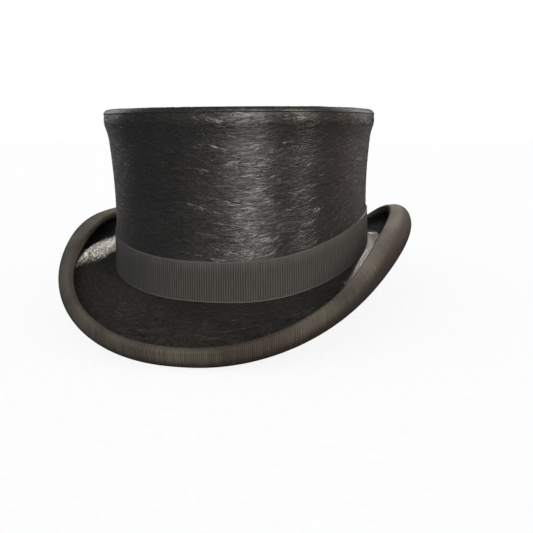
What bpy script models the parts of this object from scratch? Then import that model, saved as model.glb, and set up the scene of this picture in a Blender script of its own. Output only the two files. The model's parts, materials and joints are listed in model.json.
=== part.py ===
"""Silk top hat, built up in layers as a hatter builds it: a stiff shell, plush over it, a lined inside,
a rolled brim with a ribbon binding, a ribbon band with a flat bow, and a leather sweatband.

Metres, +Z up. The wearer looks along -Y and the wearer's left is +X. The brim rests on z = 0 at its front and back.

Everything is placed from one oval, the outline of the finished crown where it meets the brim.
"out" is a distance outwards from that oval in plan. A station is a share of the way from the front and back
(0) to the sides (1), and whatever changes around the hat is given at 0, one half and 1.
"""

import math

import bmesh
import bpy

MM = 0.001
HAT = "TopHat"
SEGMENTS = 40
GAP = 0.3 * MM
BRIM_GAP = 0.5 * MM

# Crown, over the plush
HALF_WIDTH = 85.3 * MM
HALF_LENGTH = 102.5 * MM
SQUARENESS = 2.5
CROWN_HEIGHT = 100.3 * MM
JOINT_SWING = 15.6 * MM
LEAN = 2.6 * MM
TOP_FLARE = 2.2 * MM
WAIST = 1.7 * MM
TIP_CORNER = 2.4 * MM
TIP_SEAM = 4.0 * MM

# Brim section, at the front and back, the quarters and the sides
START_SLOPE = (-8, -4, 2)
END_SLOPE = (-17, 14, 56)
LIP_SLOPE = (87, 160, 188)
PLATE_LENGTH = (53.5 * MM, 29.8 * MM, 30.9 * MM)
ROLL_RADIUS = (5.2 * MM, 6.8 * MM, 6.0 * MM)
LIP_LENGTH = (1.8 * MM, 1.3 * MM, 3.4 * MM)
BRIM_DROP = 2.2 * MM

# Cloth, ribbon, leather and shell thicknesses
SHELL = 1.6 * MM
BRIM_SHELL = 1.4 * MM
CROWN_PLUSH = 1.2 * MM
BRIM_PLUSH = 0.8 * MM
UNDERBRIM = 0.5 * MM
RIBBON = 0.5 * MM
BAND_RIBBON = 0.6 * MM
STRIP = 0.5 * MM
LINING = 0.5 * MM
LEATHER = 1.0 * MM

# Trimmings
BAND_WIDTH = 23.4 * MM
BINDING_OUTER = 21.0 * MM
STRIP_OUT = 8.0 * MM
STRIP_UP = 6.0 * MM
SWEATBAND_WIDTH = 44.0 * MM
SWEATBAND_JOIN = 1.5 * MM
REED_RADIUS = 1.1 * MM
LINING_HEM = 8.0 * MM
BINDING_FOLD = 1.6 * MM
STEP_LENGTH = 3.0 * MM
BOW_LENGTH = 62.0 * MM
BOW_INSET = 1.5 * MM
KNOT_WIDTH = 13.0 * MM
REAR_BOW_LENGTH = 22.0 * MM
REAR_BOW_HEIGHT = 8.0 * MM
REAR_BOW_THICKNESS = 1.2 * MM

# Rows of points: up the crown's wall, as shares of its height, and across the brim's plate and roll
WALL_SHARES = (0, 0.25, 0.5, 0.75, 0.9)
PLATE_ROWS = 3
ROLL_ROWS = 5
SHARP_ANGLE = 40

# Colours
SILK_BLACK = (0.012, 0.011, 0.012)
MERINO_BLACK = (0.016, 0.015, 0.016)
GOSSAMER = (0.32, 0.25, 0.16)
CALICO = (0.50, 0.44, 0.32)
SATIN_CREAM = (0.62, 0.58, 0.50)
RIBBON_GREY = (0.045, 0.045, 0.050)
RIBBON_BROWN = (0.12, 0.10, 0.09)
LEATHER_TAN = (0.33, 0.17, 0.08)

# The middles of the brim's layers, as distances from its middle surface, positive towards the underside
SHELL_AT = 0.25 * MM
PLUSH_AT = SHELL_AT - BRIM_SHELL / 2 - BRIM_GAP - BRIM_PLUSH / 2
CLOTH_AT = SHELL_AT + BRIM_SHELL / 2 + BRIM_GAP + UNDERBRIM / 2
INNER_PLY_AT = PLUSH_AT - BRIM_PLUSH / 2 - BRIM_GAP - RIBBON / 2
OUTER_PLY_AT = CLOTH_AT + UNDERBRIM / 2 + BRIM_GAP + RIBBON / 2

# The crown's layers, as distances out from the oval to each layer's outer face
SHELL_OUT = -CROWN_PLUSH - GAP
LINING_OUT = SHELL_OUT - SHELL - GAP
SWEATBAND_OUT = LINING_OUT - LINING - GAP

# The bow's inner ribbon, out from the oval to its middle, and the rise from it to the folded-back ribbon
BOW_OUT = GAP + BAND_RIBBON + GAP + RIBBON / 2
LOOP_RISE = RIBBON + 2 * GAP


# ---------------------------------------------------------------- shared geometry

def at_station(values, station):
    """The value at a station, on the smooth curve through those at the ends, the quarters and the sides."""
    ends, quarters, sides = values
    away = 1 - station
    return ends * away * (away - station) + 4 * quarters * station * away + sides * station * (station - away)


def oval(turn):
    """Plan point, outward direction and station at a turn in radians, where 0 is the wearer's left."""
    c, s = math.cos(turn), math.sin(turn)
    reach = (abs(c / HALF_WIDTH) ** SQUARENESS + abs(s / HALF_LENGTH) ** SQUARENESS) ** (-1 / SQUARENESS)
    x, y = reach * c, reach * s
    nx = math.copysign(abs(x) ** (SQUARENESS - 1) / HALF_WIDTH ** SQUARENESS, x)
    ny = math.copysign(abs(y) ** (SQUARENESS - 1) / HALF_LENGTH ** SQUARENESS, y)
    length = math.hypot(nx, ny)
    return x, y, nx / length, ny / length, abs(x / HALF_WIDTH) ** SQUARENESS


def brim_section(station, along, under):
    """(out, rise) on the brim's section: along is the distance from the joint, and under is the distance
    from the middle surface towards the underside. The section is a gently curved plate, a round roll,
    and a short straight lip."""
    start = math.radians(at_station(START_SLOPE, station))
    end = math.radians(at_station(END_SLOPE, station))
    lip = math.radians(at_station(LIP_SLOPE, station))
    plate = at_station(PLATE_LENGTH, station)
    radius = at_station(ROLL_RADIUS, station)
    roll = radius * (lip - end)
    out, rise, slope = 0.0, 0.0, start
    for length, curve in ((plate, (end - start) / plate), (roll, 1 / radius), (math.inf, 0.0)):
        step = min(along, length)
        turned = slope + curve * step
        if abs(curve * step) > 1e-9:
            out += (math.sin(turned) - math.sin(slope)) / curve
            rise += (math.cos(slope) - math.cos(turned)) / curve
        else:
            out += step * math.cos(slope)
            rise += step * math.sin(slope)
        slope, along = turned, along - step
        if along <= 0:
            break
    return out + under * math.sin(slope), rise - under * math.cos(slope)


def brim_lengths(station):
    """How far along the section the plate, the roll and the lip end."""
    turned = math.radians(at_station(LIP_SLOPE, station) - at_station(END_SLOPE, station))
    plate = at_station(PLATE_LENGTH, station)
    roll = plate + at_station(ROLL_RADIUS, station) * turned
    return plate, roll, roll + at_station(LIP_LENGTH, station)


def joint_rise(turn):
    """Height of the joint line above its mean: high at the sides, a little more so on the wearer's right."""
    x, y, nx, ny, station = oval(turn)
    return JOINT_SWING * (station - 0.5) - math.copysign(LEAN, x) * station


def turns(start=0.0):
    """Turns of the lofts' sections, with a flat side in the middle of each end and each side."""
    return [start + 2 * math.pi * (i + 0.5) / SEGMENTS for i in range(SEGMENTS)]


def brim_rows(station, first):
    """Distances along the section of the lofts' points, from first after the joint to the lip's end."""
    plate, roll, end = brim_lengths(station)
    rows = [first + (plate - first) * k / PLATE_ROWS for k in range(PLATE_ROWS)]
    return rows + roll_rows(station) + [end]


def roll_rows(station):
    plate, roll, end = brim_lengths(station)
    return [plate + (roll - plate) * k / ROLL_ROWS for k in range(ROLL_ROWS + 1)]


def lowest_rise():
    """The lowest point of the brim, at the front and back, measured from its section's start."""
    turn = math.pi / 2 - math.pi / SEGMENTS
    station = oval(turn)[4]
    under = OUTER_PLY_AT + RIBBON / 2
    lowest = min(brim_section(station, along, under)[1] for along in roll_rows(station))
    return joint_rise(turn) - BRIM_DROP + lowest


JOINT_HEIGHT = -lowest_rise()
TOP = JOINT_HEIGHT + CROWN_HEIGHT


def joint_height(turn):
    return JOINT_HEIGHT + joint_rise(turn)


def brim_point(turn, along, under):
    x, y, nx, ny, station = oval(turn)
    out, rise = brim_section(station, along, under)
    return x + nx * out, y + ny * out, joint_height(turn) - BRIM_DROP + rise


def rim_point(turn, out, under):
    """A point inside the brim's opening, level with the start of the brim's section."""
    x, y, nx, ny, station = oval(turn)
    return x + nx * out, y + ny * out, joint_height(turn) - BRIM_DROP - under


def crown_swell(share):
    """How far the crown's wall stands out from the oval, at a share of its height."""
    return TOP_FLARE * share ** 3 - WAIST * math.sin(math.pi * min(max(share, 0), 1))


def crown_point(turn, height, out):
    """A point on the crown's wall, at a height above the joint line."""
    x, y, nx, ny, station = oval(turn)
    foot = joint_height(turn)
    swell = crown_swell(max(height, 0) / (TOP - foot))
    return x + nx * (out + swell), y + ny * (out + swell), foot + height


def crown_share_point(turn, share, out, low, top):
    """A point on the crown's wall, at a share of the way from low above the joint to top above the ground."""
    return crown_point(turn, low + share * (top - joint_height(turn) - low), out)


# ---------------------------------------------------------------- objects

def clear_scene():
    for old in list(bpy.data.objects):
        bpy.data.objects.remove(old)


def new_collection(name):
    made = bpy.data.collections.new(name)
    bpy.context.scene.collection.children.link(made)
    return made


def material(name, colour, roughness):
    made = bpy.data.materials.new(name)
    made.use_nodes = True
    shader = made.node_tree.nodes["Principled BSDF"]
    shader.inputs["Base Color"].default_value = (*colour, 1.0)
    shader.inputs["Roughness"].default_value = roughness
    shader.inputs["Metallic"].default_value = 0.0
    return made


def add_object(name, bm, colour, roughness, thickness, offset):
    """Makes an open surface an object that Solidify thickens."""
    mesh = bpy.data.meshes.new(name)
    bm.to_mesh(mesh)
    bm.free()
    mesh.materials.append(material(name, colour, roughness))
    mesh.shade_smooth()
    mesh.set_sharp_from_angle(angle=math.radians(SHARP_ANGLE))
    obj = bpy.data.objects.new(name, mesh)
    HAT_PARTS.objects.link(obj)
    thicken = obj.modifiers.new("Thickness", "SOLIDIFY")
    thicken.thickness = thickness
    thicken.offset = offset
    thicken.use_even_offset = True
    thicken.use_quality_normals = True


def loft(name, sections, colour, roughness, thickness, closed=True):
    """Skins a row of sections with equal numbers of points, and thickens the skin evenly on both sides.
    Every four-sided patch is split along the same diagonal, so that layers stay an even gap apart."""
    bm = bmesh.new()
    rows = [[bm.verts.new(point) for point in section] for section in sections]
    pairs = list(zip(rows, rows[1:] + rows[:1])) if closed else list(zip(rows, rows[1:]))
    for here, there in pairs:
        for k in range(len(here) - 1):
            bm.faces.new((here[k], there[k], there[k + 1], here[k + 1]))
    bmesh.ops.triangulate(bm, faces=bm.faces[:], quad_method="FIXED")
    add_object(name, bm, colour, roughness, thickness, offset=0.0)


def disc(name, rim, middle, colour, roughness, thickness):
    """A level disc, with a ring of faces from its rim to its middle face. It thickens downwards."""
    bm = bmesh.new()
    outer = [bm.verts.new(point) for point in rim]
    inner = [bm.verts.new(point) for point in middle]
    for k in range(SEGMENTS):
        following = (k + 1) % SEGMENTS
        bm.faces.new((outer[k], outer[following], inner[following], inner[k]))
    bm.faces.new(inner)
    add_object(name, bm, colour, roughness, thickness, offset=-1.0)


# ---------------------------------------------------------------- crown

def crown_tube(name, low, top, out, thickness, colour, roughness):
    """A layer of the crown's wall, from low above the joint line to top above the ground."""
    middle = out - thickness / 2
    sections = []
    for turn in turns():
        sections.append([crown_share_point(turn, share, middle, low, top) for share in (*WALL_SHARES, 1)])
    loft(name, sections, colour, roughness, thickness)


def make_crown_shell():
    low = -BRIM_DROP - SHELL_AT - BRIM_SHELL / 2
    top = TOP - CROWN_PLUSH / 2 - TIP_CORNER
    crown_tube("crown_shell", low, top, SHELL_OUT, SHELL, GOSSAMER, 0.8)


def make_crown_plush():
    """The side plush turns over the crown's square edge and ends at the seam with the tip plush."""
    middle = -CROWN_PLUSH / 2
    level = TOP - CROWN_PLUSH / 2
    bend = level - TIP_CORNER
    centre = middle + crown_swell(1) - TIP_CORNER
    seam = crown_swell(1) - TIP_SEAM
    sections = []
    for turn in turns():
        x, y, nx, ny, station = oval(turn)
        section = [crown_share_point(turn, share, middle, GAP, bend) for share in WALL_SHARES]
        for angle in (0, 30, 60, 90):
            out = centre + TIP_CORNER * math.cos(math.radians(angle))
            section.append((x + nx * out, y + ny * out, bend + TIP_CORNER * math.sin(math.radians(angle))))
        section.append((x + nx * seam, y + ny * seam, level))
        sections.append(section)
    loft("crown_plush", sections, SILK_BLACK, 0.45, CROWN_PLUSH)


def tip_disc(name, level, thickness, out, colour, roughness):
    """A flat oval disc under a level. Its rim clears the crown's wall at the disc's lower face by out."""
    rim = []
    for turn in turns():
        x, y, height = crown_point(turn, level - thickness - joint_height(turn), out)
        rim.append((x, y, level))
    middle = [(0.6 * x, 0.6 * y, height) for x, y, height in rim]
    disc(name, rim, middle, colour, roughness, thickness)


def make_tips():
    shell_level = TOP - CROWN_PLUSH - GAP
    lining_level = shell_level - SHELL - GAP
    tip_disc("tip_plush", TOP, CROWN_PLUSH, -TIP_SEAM - GAP, SILK_BLACK, 0.45)
    tip_disc("tip_shell", shell_level, SHELL, LINING_OUT, GOSSAMER, 0.8)
    tip_disc("tip_lining", lining_level, LINING, SWEATBAND_OUT, SATIN_CREAM, 0.35)


def make_side_lining():
    top = TOP - CROWN_PLUSH - SHELL - 2 * GAP
    crown_tube("side_lining", LINING_HEM, top, LINING_OUT, LINING, SATIN_CREAM, 0.35)


# ---------------------------------------------------------------- brim

def brim_layer(name, first, under, thickness, colour, roughness):
    sections = []
    for turn in turns():
        rows = brim_rows(oval(turn)[4], first)
        sections.append([brim_point(turn, along, under) for along in rows])
    loft(name, sections, colour, roughness, thickness)


def make_brim():
    brim_layer("brim_shell", SHELL_OUT + GAP, SHELL_AT, BRIM_SHELL, GOSSAMER, 0.8)
    brim_layer("brim_plush", GAP, PLUSH_AT, BRIM_PLUSH, SILK_BLACK, 0.6)


def make_underbrim_cloth():
    """The cloth under the brim, which steps down over the joint strip next to the crown."""
    stepped = CLOTH_AT + STRIP + GAP
    sections = []
    for turn in turns():
        section = [rim_point(turn, LINING_OUT, stepped)]
        section += [brim_point(turn, along, stepped) for along in (0, STRIP_OUT / 2, STRIP_OUT + GAP)]
        rows = brim_rows(oval(turn)[4], STRIP_OUT + STEP_LENGTH)
        sections.append(section + [brim_point(turn, along, CLOTH_AT) for along in rows])
    loft("underbrim_cloth", sections, MERINO_BLACK, 0.7, UNDERBRIM)


def make_joint_strip():
    """A strip of stiffened cloth, bent to an L, that holds the brim's shell to the foot of the crown's."""
    out = LINING_OUT - STRIP / 2
    sections = []
    for turn in turns():
        leg = [crown_point(turn, height, out) for height in (STRIP_UP, STRIP_UP / 2)]
        foot = [brim_point(turn, along, CLOTH_AT) for along in (0, STRIP_OUT / 2, STRIP_OUT)]
        sections.append(leg + [rim_point(turn, out, CLOTH_AT)] + foot)
    loft("joint_strip", sections, CALICO, 0.85, STRIP)


def make_brim_binding():
    """A ribbon folded over the brim's edge: wide on the underside, with a narrow turn on the upper side."""
    middle = (OUTER_PLY_AT + INNER_PLY_AT) / 2
    reach = (OUTER_PLY_AT - INNER_PLY_AT) / 2
    sections = []
    for turn in turns():
        station = oval(turn)[4]
        end = brim_lengths(station)[2]
        outer_rows = [end - BINDING_OUTER] + roll_rows(station) + [end]
        section = [brim_point(turn, along, OUTER_PLY_AT) for along in outer_rows]
        for angle in (50, 90, 130):
            along = end + BINDING_FOLD * math.sin(math.radians(angle))
            section.append(brim_point(turn, along, middle + reach * math.cos(math.radians(angle))))
        inner_rows = outer_rows[:-4:-1]
        section += [brim_point(turn, along, INNER_PLY_AT) for along in inner_rows]
        sections.append(section)
    loft("brim_binding", sections, RIBBON_BROWN, 0.6, RIBBON)


# ---------------------------------------------------------------- band and bow

def make_hat_band():
    out = GAP + BAND_RIBBON / 2
    sections = []
    for turn in turns():
        sections.append([crown_point(turn, height, out) for height in (GAP, BAND_WIDTH / 2, BAND_WIDTH)])
    loft("hat_band", sections, RIBBON_GREY, 0.55, BAND_RIBBON)


def make_bow_loop(name, side):
    """Half of the flat bow on the wearer's left: a ribbon that runs out along the band and folds back."""
    half_turn = BOW_LENGTH / 2 / HALF_WIDTH
    start = GAP / HALF_WIDTH
    path = []
    for share in (0, 0.25, 0.5, 0.75, 1):
        path.append((start + (half_turn - start) * share, BOW_OUT))
    path.append((half_turn + LOOP_RISE / 2 / HALF_WIDTH, BOW_OUT + LOOP_RISE / 2))
    path += [(turn, BOW_OUT + LOOP_RISE) for turn, out in path[4::-1]]
    heights = (BOW_INSET, BAND_WIDTH / 2, BAND_WIDTH - BOW_INSET)
    sections = [[crown_point(side * turn, height, out) for height in heights] for turn, out in path]
    loft(name, sections, RIBBON_GREY, 0.55, RIBBON, closed=False)


def make_bow_knot():
    """A ribbon wrapped over the middle of the two loops."""
    half_turn = KNOT_WIDTH / 2 / HALF_WIDTH
    over = BOW_OUT + LOOP_RISE + RIBBON + GAP
    low = BOW_INSET - RIBBON / 2 - GAP
    high = BAND_WIDTH - low
    wrap = ((low, BOW_OUT), (low, over), (BAND_WIDTH / 2, over), (high, over), (high, BOW_OUT))
    sections = []
    for share in (-1, -0.5, 0, 0.5, 1):
        sections.append([crown_point(half_turn * share, height, out) for height, out in wrap])
    loft("bow_knot", sections, RIBBON_GREY, 0.55, RIBBON, closed=False)


# ---------------------------------------------------------------- sweatband

def make_sweatband():
    """A leather strip inside the crown's foot, whose ends meet at the back of the head."""
    middle = SWEATBAND_OUT - LEATHER / 2
    back = math.pi / 2
    half_join = SWEATBAND_JOIN / 2 / HALF_LENGTH
    sections = []
    for turn in [back + half_join] + turns(back) + [back + 2 * math.pi - half_join]:
        heights = (-GAP, SWEATBAND_WIDTH / 2, SWEATBAND_WIDTH)
        sections.append([crown_point(turn, height, middle) for height in heights])
    loft("sweatband", sections, LEATHER_TAN, 0.5, LEATHER, closed=False)


def make_sweatband_reed():
    """The covered reed along the sweatband's lower edge, a tube on a closed curve."""
    curve = bpy.data.curves.new("sweatband_reed", "CURVE")
    curve.dimensions = "3D"
    curve.bevel_depth = REED_RADIUS
    curve.bevel_resolution = 1
    line = curve.splines.new("POLY")
    line.use_cyclic_u = True
    line.points.add(SEGMENTS - 1)
    for point, turn in zip(line.points, turns()):
        point.co = (*crown_point(turn, -2 * GAP - REED_RADIUS, SWEATBAND_OUT - REED_RADIUS), 1)
    curve.materials.append(material("sweatband_reed", LEATHER_TAN, 0.55))
    HAT_PARTS.objects.link(bpy.data.objects.new("sweatband_reed", curve))


def make_sweatband_bow():
    """A small ribbon bow at the back, a flat bow-tie outline."""
    half_length = REAR_BOW_LENGTH / 2
    half_height = REAR_BOW_HEIGHT / 2
    waist = half_height * 0.4
    curve = bpy.data.curves.new("sweatband_bow", "CURVE")
    curve.dimensions = "2D"
    curve.fill_mode = "BOTH"
    curve.extrude = REAR_BOW_THICKNESS / 2
    outline = curve.splines.new("POLY")
    outline.use_cyclic_u = True
    right = [(0, -waist), (half_length * 0.6, -half_height), (half_length, -half_height * 0.7)]
    right += [(half_length, half_height * 0.7), (half_length * 0.6, half_height), (0, waist)]
    left = [(-x, -y) for x, y in right[1:-1]]
    outline.points.add(len(right) + len(left) - 1)
    for point, (x, y) in zip(outline.points, right + left):
        point.co = (x, y, 0, 1)
    curve.materials.append(material("sweatband_bow", RIBBON_GREY, 0.5))
    obj = bpy.data.objects.new("sweatband_bow", curve)
    HAT_PARTS.objects.link(obj)
    inner = HALF_LENGTH + SWEATBAND_OUT - LEATHER - WAIST
    obj.rotation_euler = (math.pi / 2, 0, 0)
    obj.location = (0, inner - GAP - REAR_BOW_THICKNESS / 2, joint_height(math.pi / 2) + SWEATBAND_WIDTH * 0.6)


clear_scene()
HAT_PARTS = new_collection(HAT)
make_crown_shell()
make_crown_plush()
make_tips()
make_side_lining()
make_brim()
make_underbrim_cloth()
make_joint_strip()
make_brim_binding()
make_hat_band()
make_bow_loop("bow_front_loop", -1)
make_bow_loop("bow_back_loop", 1)
make_bow_knot()
make_sweatband()
make_sweatband_reed()
make_sweatband_bow()
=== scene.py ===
"""Looks of the silk top hat: plush with its nap, ribbed ribbons, satin lining and a leather sweatband.

Each layer that shows is skinned here over the same oval and brim section as its CAD part, with more
points, and then gets what the CAD part leaves out: the nap's hairs, folds, stitches and woven detail.
Metres, +Z up. The wearer looks along -Y and the wearer's left is +X.
"""

import json
import math

import bpy
import numpy as np
from mathutils import Matrix, Vector

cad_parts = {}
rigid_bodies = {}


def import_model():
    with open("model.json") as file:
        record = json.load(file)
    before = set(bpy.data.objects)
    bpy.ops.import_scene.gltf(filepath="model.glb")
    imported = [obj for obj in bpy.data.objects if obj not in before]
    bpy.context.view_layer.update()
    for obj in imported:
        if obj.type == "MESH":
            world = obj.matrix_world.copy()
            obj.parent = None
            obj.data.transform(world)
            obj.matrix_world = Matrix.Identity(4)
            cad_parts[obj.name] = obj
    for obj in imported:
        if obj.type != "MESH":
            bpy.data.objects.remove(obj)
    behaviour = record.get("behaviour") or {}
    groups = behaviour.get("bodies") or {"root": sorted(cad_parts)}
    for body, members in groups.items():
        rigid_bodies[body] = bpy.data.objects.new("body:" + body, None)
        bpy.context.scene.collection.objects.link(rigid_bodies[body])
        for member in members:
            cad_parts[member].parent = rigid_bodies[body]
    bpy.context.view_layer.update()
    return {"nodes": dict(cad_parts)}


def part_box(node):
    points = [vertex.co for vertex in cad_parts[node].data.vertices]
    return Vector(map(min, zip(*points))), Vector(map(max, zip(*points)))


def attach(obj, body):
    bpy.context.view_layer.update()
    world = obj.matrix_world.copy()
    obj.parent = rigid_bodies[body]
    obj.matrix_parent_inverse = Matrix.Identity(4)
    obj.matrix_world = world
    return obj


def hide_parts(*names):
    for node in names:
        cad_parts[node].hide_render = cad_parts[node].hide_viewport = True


MM = 0.001
BODY = "root"
CLOTH_UV = "Cloth"

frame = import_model()

# -------- sizes shared with the CAD parts

HALF_WIDTH = 85.3 * MM
HALF_LENGTH = 102.5 * MM
SQUARENESS = 2.5
CROWN_HEIGHT = 100.3 * MM
JOINT_SWING = 15.6 * MM
LEAN = 2.6 * MM
TOP_FLARE = 2.2 * MM
WAIST = 1.7 * MM
TIP_CORNER = 2.4 * MM
TIP_SEAM = 4.0 * MM
GAP = 0.3 * MM

# The brim's section, at the front and back, the quarters and the sides
START_SLOPE = (-8, -4, 2)
END_SLOPE = (-17, 14, 56)
LIP_SLOPE = (87, 160, 188)
PLATE_LENGTH = (53.5 * MM, 29.8 * MM, 30.9 * MM)
ROLL_RADIUS = (5.2 * MM, 6.8 * MM, 6.0 * MM)
LIP_LENGTH = (1.8 * MM, 1.3 * MM, 3.4 * MM)
BRIM_DROP = 2.2 * MM

CROWN_PLUSH = 1.2 * MM
BRIM_PLUSH = 0.8 * MM
UNDERBRIM = 0.5 * MM
RIBBON = 0.5 * MM
BAND_RIBBON = 0.6 * MM
LINING = 0.5 * MM
LEATHER = 1.0 * MM

# The middles of the brim's layers, from the section's middle surface, positive towards the underside
PLUSH_AT = -1.35 * MM
CLOTH_AT = 1.7 * MM
CLOTH_STEP = 0.8 * MM
CLOTH_STEP_END = 11.0 * MM
CLOTH_STEP_LENGTH = 2.7 * MM
INNER_PLY_AT = -2.5 * MM
OUTER_PLY_AT = 2.7 * MM

# The crown's inner layers, from the oval out to their outer faces
LINING_OUT = -3.4 * MM
SWEATBAND_OUT = -4.2 * MM

BAND_WIDTH = 23.4 * MM
BINDING_OUTER = 21.0 * MM
BINDING_FOLD = 1.6 * MM
SWEATBAND_WIDTH = 44.0 * MM
SWEATBAND_JOIN = 1.5 * MM
REED_RADIUS = 1.1 * MM
LINING_HEM = 8.0 * MM
BOW_LENGTH = 62.0 * MM
BOW_INSET = 1.5 * MM
KNOT_WIDTH = 13.0 * MM
BOW_OUT = GAP + BAND_RIBBON + GAP + RIBBON / 2
LOOP_RISE = RIBBON + 2 * GAP

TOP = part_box("tip_plush")[1].z
JOINT_HEIGHT = TOP - CROWN_HEIGHT
LINING_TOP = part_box("tip_lining")[1].z

# -------- sizes of the looks

TURNS = 240
FINE_TURNS = 360
WELD_DISTANCE = 0.01 * MM
SHARP_ANGLE = 35
BAND_RIB = 1.41 * MM
BINDING_RIB = 0.93 * MM
BINDING_WIDTH = 31.5 * MM
BINDING_OUTER_ROWS = 30
PLUSH_TUCK = 0.8 * MM
SELVAGE = 0.8 * MM
LINING_FOLDS = 90

# How far the plush is fuller under the crown's edge, at what depth, over what spread, and its edge's wave
EDGE_FULLNESS = 1.3 * MM
FULLNESS_DEPTH = 8.0 * MM
FULLNESS_SPREAD = 5.0 * MM
EDGE_WAVE = 0.22 * MM
EDGE_WAVE_REACH = 18.0 * MM

# The nap: numbers of hairs, their width in mm, how they bend and taper, and the locks that they lie in
CROWN_HAIRS = 44000
BRIM_HAIRS = 40000
TIP_HAIRS = 14000
CROWN_STRAYS = 40
BRIM_STRAYS = 160
TIP_STRAYS = 10
HAIR_WIDTHS = (0.14, 0.30)
HAIR_BEND = 0.35
HAIR_TAPER = 0.75
HAIR_ROOT = 0.25
HAIR_SINK = 0.02 * MM
LOCK_KINDS = 4096
CROWN_LOCK = (4.2 * MM, 0.75 * MM)
BRIM_LOCK = (5.0 * MM, 1.3 * MM)

# Pieces that get less light: the soft boxes would bleach the tip, and the sun the crown's edge too
TIP_PIECES = ("tip_cover", "tip_nap")
OUT_OF_SUN = ("side_plush", "crown_nap", *TIP_PIECES)

CAMERA_TURN = 102.68
CAMERA_DISTANCE = 421.94 * MM
CAMERA_RISE = 89.27 * MM
CAMERA_HEADING = 10.88
CAMERA_PITCH = 13.4
CAMERA_ROLL = -0.34
CAMERA_LENS = 39.4
CAMERA_SENSOR = 36.0

random = np.random.default_rng(1889)

HAT = bpy.data.collections.new("Hat")
bpy.context.scene.collection.children.link(HAT)
for cad_node in frame["nodes"].values():
    HAT.objects.link(cad_node)


# -------- the hat's surfaces

def at_station(values, station):
    """The value at a station, on the curve through those at the ends, the quarters and the sides."""
    ends, quarters, sides = values
    away = 1 - station
    return ends * away * (away - station) + 4 * quarters * station * away + sides * station * (station - away)


def oval(turn):
    """Plan point, outward direction and station at turns in radians, where 0 is the wearer's left."""
    c, s = np.cos(turn), np.sin(turn)
    reach = (abs(c / HALF_WIDTH) ** SQUARENESS + abs(s / HALF_LENGTH) ** SQUARENESS) ** (-1 / SQUARENESS)
    x, y = reach * c, reach * s
    nx = np.sign(x) * abs(x) ** (SQUARENESS - 1) / HALF_WIDTH ** SQUARENESS
    ny = np.sign(y) * abs(y) ** (SQUARENESS - 1) / HALF_LENGTH ** SQUARENESS
    length = np.hypot(nx, ny)
    return x, y, nx / length, ny / length, abs(x / HALF_WIDTH) ** SQUARENESS


def arc(length, slope, turned):
    """(out, rise) along an arc of a length that turns from one slope to another."""
    chord = length * np.sinc((turned - slope) / (2 * math.pi))
    return chord * np.cos((slope + turned) / 2), chord * np.sin((slope + turned) / 2)


def brim_section(station, along, under):
    """(out, rise) on the brim's section, a curved plate, a round roll and a short straight lip."""
    slopes = (START_SLOPE, END_SLOPE, LIP_SLOPE)
    start, end, lip = (np.radians(at_station(values, station)) for values in slopes)
    plate = at_station(PLATE_LENGTH, station)
    radius = at_station(ROLL_RADIUS, station)
    on_plate = np.minimum(along, plate)
    on_roll = np.clip(along - plate, 0, radius * (lip - end))
    on_lip = np.maximum(along - plate - radius * (lip - end), 0)
    plate_slope = start + (end - start) * on_plate / plate
    slope = plate_slope + on_roll / radius
    runs = ((on_plate, start, plate_slope), (on_roll, plate_slope, slope), (on_lip, slope, slope))
    out, rise = (sum(part) for part in zip(*(arc(*run) for run in runs)))
    return out + under * np.sin(slope), rise - under * np.cos(slope)


def brim_lengths(station):
    """How far along the section the plate, the roll and the lip end."""
    turned = np.radians(at_station(LIP_SLOPE, station) - at_station(END_SLOPE, station))
    plate = at_station(PLATE_LENGTH, station)
    roll = plate + at_station(ROLL_RADIUS, station) * turned
    return plate, roll, roll + at_station(LIP_LENGTH, station)


def joint_height(turn):
    """Height of the line where the brim joins the crown: high at the sides, more so on the wearer's right."""
    x, y, nx, ny, station = oval(turn)
    return JOINT_HEIGHT + JOINT_SWING * (station - 0.5) - np.copysign(LEAN, x) * station


def stand_out(turn, out, height):
    """The points at a distance outwards from the oval, at a height."""
    x, y, nx, ny, station = oval(turn)
    return np.stack(np.broadcast_arrays(x + nx * out, y + ny * out, height), axis=-1)


def brim_point(turn, along, under):
    out, rise = brim_section(oval(turn)[4], along, under)
    return stand_out(turn, out, joint_height(turn) - BRIM_DROP + rise)


def rim_point(turn, out, under):
    """A point inside the brim's opening, level with the start of the brim's section."""
    return stand_out(turn, out, joint_height(turn) - BRIM_DROP - under)


def crown_swell(share):
    """How far the crown's wall stands out from the oval, at a share of its height."""
    share = np.clip(share, 0, 1)
    return TOP_FLARE * share ** 3 - WAIST * np.sin(math.pi * share)


def crown_point(turn, height, out):
    """A point on the crown's wall, at a height above the joint line."""
    foot = joint_height(turn)
    return stand_out(turn, out + crown_swell(height / (TOP - foot)), foot + height)


def fullness(turn, height):
    """How far the plush stands out past the CAD wall, just under the crown's edge."""
    below = TOP - joint_height(turn) - height
    return EDGE_FULLNESS * np.exp(-((below - FULLNESS_DEPTH) / FULLNESS_SPREAD) ** 2)


def around(count=TURNS):
    """Turns for the columns of a skin, as a column of numbers, with the first one repeated at the end."""
    return np.linspace(0, 2 * math.pi, count + 1)[:, None]


def shares(rows):
    return np.linspace(0, 1, rows)[None, :]


def drift(u, v, reach, waves=5):
    """A smooth random value from about -1 to 1 at places u, v in metres, that changes over about reach."""
    total = 0.0
    for _ in range(waves):
        angle, phase, stretch = random.uniform(0, 2 * math.pi, 3)
        wave_length = reach * (1 + stretch / 3)
        total = total + np.sin((u * np.cos(angle) + v * np.sin(angle)) * 2 * math.pi / wave_length + phase)
    return total / math.sqrt(2 * waves)


# -------- pieces

def steps_along(points, axis):
    """The running length along one axis of a grid of points."""
    lengths = np.linalg.norm(np.diff(points, axis=axis), axis=-1)
    return np.insert(np.cumsum(lengths, axis=axis), 0, 0, axis=axis)


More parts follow.
